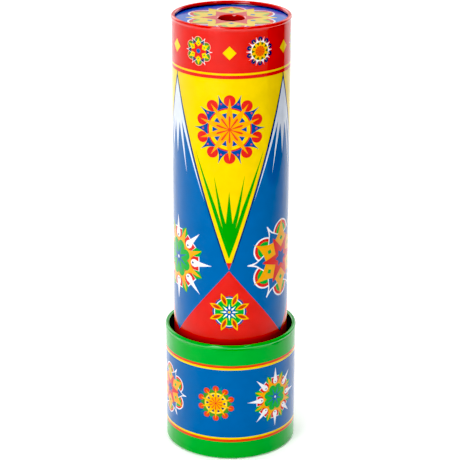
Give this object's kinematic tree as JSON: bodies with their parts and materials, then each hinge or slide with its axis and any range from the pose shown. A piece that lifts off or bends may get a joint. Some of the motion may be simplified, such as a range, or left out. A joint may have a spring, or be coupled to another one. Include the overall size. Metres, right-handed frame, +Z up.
{
  "type": "kaleidoscope",
  "caption": "Printed tinplate kaleidoscope: a mirror tube with an eyehole in its recessed top plate, standing on a wider turning collar that holds a chamber of loose coloured pieces.",
  "frame": {"origin": "centre of the collar's foot, on the surface it stands on", "axes": "+Z up along the tube towards the eyepiece; -Y is the side with the printed panel that faces the viewer"},
  "size_m": [0.0638, 0.0638, 0.2127],
  "materials": {
    "printed_tube_tin": "gloss",
    "printed_plate_tin": "gloss",
    "printed_collar_tin": "gloss",
    "clear_plastic": "polished",
    "frosted_plastic": "matte",
    "black_plastic": "satin",
    "white_plastic": "satin",
    "black_card": "matte",
    "grey_card": "matte",
    "white_foam": "matte",
    "mirror_glass": "polished",
    "spring_steel": "satin",
    "loose_red": "gloss",
    "loose_yellow": "gloss",
    "loose_blue": "gloss",
    "loose_green": "gloss",
    "loose_orange": "gloss",
    "loose_white": "gloss",
    "loose_violet": "gloss",
    "loose_turquoise": "gloss"
  },
  "bodies": {
    "main_tube": {"body_tube": "printed_tube_tin", "eyepiece_plate": "printed_plate_tin", "eyepiece_window": "clear_plastic", "sight_card": "black_card", "mirror_1": "mirror_glass", "mirror_2": "mirror_glass", "mirror_3": "mirror_glass", "mirror_sleeve": "grey_card", "upper_centring_ring": "white_foam", "lower_centring_ring": "white_foam", "inner_window": "clear_plastic", "window_snap_ring": "spring_steel"},
    "turning_end": {"collar_shell": "printed_collar_tin", "guide_ring_upper": "black_plastic", "guide_ring_lower": "black_plastic", "chamber_lock_ring": "black_plastic", "chamber_clear_disc": "clear_plastic", "chamber_spacer_ring": "white_plastic", "chamber_frosted_disc": "frosted_plastic"},
    "loose_pieces": {"loose_red_triangle_1": "loose_red", "loose_red_triangle_2": "loose_red", "loose_red_triangle_3": "loose_red", "loose_yellow_square_1": "loose_yellow", "loose_yellow_square_2": "loose_yellow", "loose_yellow_square_3": "loose_yellow", "loose_blue_hexagon_1": "loose_blue", "loose_blue_hexagon_2": "loose_blue", "loose_blue_hexagon_3": "loose_blue", "loose_green_diamond_1": "loose_green", "loose_green_diamond_2": "loose_green", "loose_green_diamond_3": "loose_green", "loose_orange_star_1": "loose_orange", "loose_orange_star_2": "loose_orange", "loose_orange_star_3": "loose_orange", "loose_white_bead_1": "loose_white", "loose_white_bead_2": "loose_white", "loose_white_bead_3": "loose_white", "loose_violet_ring_1": "loose_violet", "loose_violet_ring_2": "loose_violet", "loose_violet_ring_3": "loose_violet", "loose_turquoise_tube_1": "loose_turquoise", "loose_turquoise_tube_2": "loose_turquoise", "loose_turquoise_tube_3": "loose_turquoise"}
  },
  "joints": [
    {"name": "collar_turn", "type": "hinge", "parent": "main_tube", "child": "turning_end", "pos_m": [0, 0, 0.03], "axis": [0, 0, 1], "continuous": true},
    {"name": "loose_pieces_tumble", "type": "hinge", "parent": "turning_end", "child": "loose_pieces", "pos_m": [0, 0, 0.0064], "axis": [0, 0, 1], "continuous": true}
  ]
}
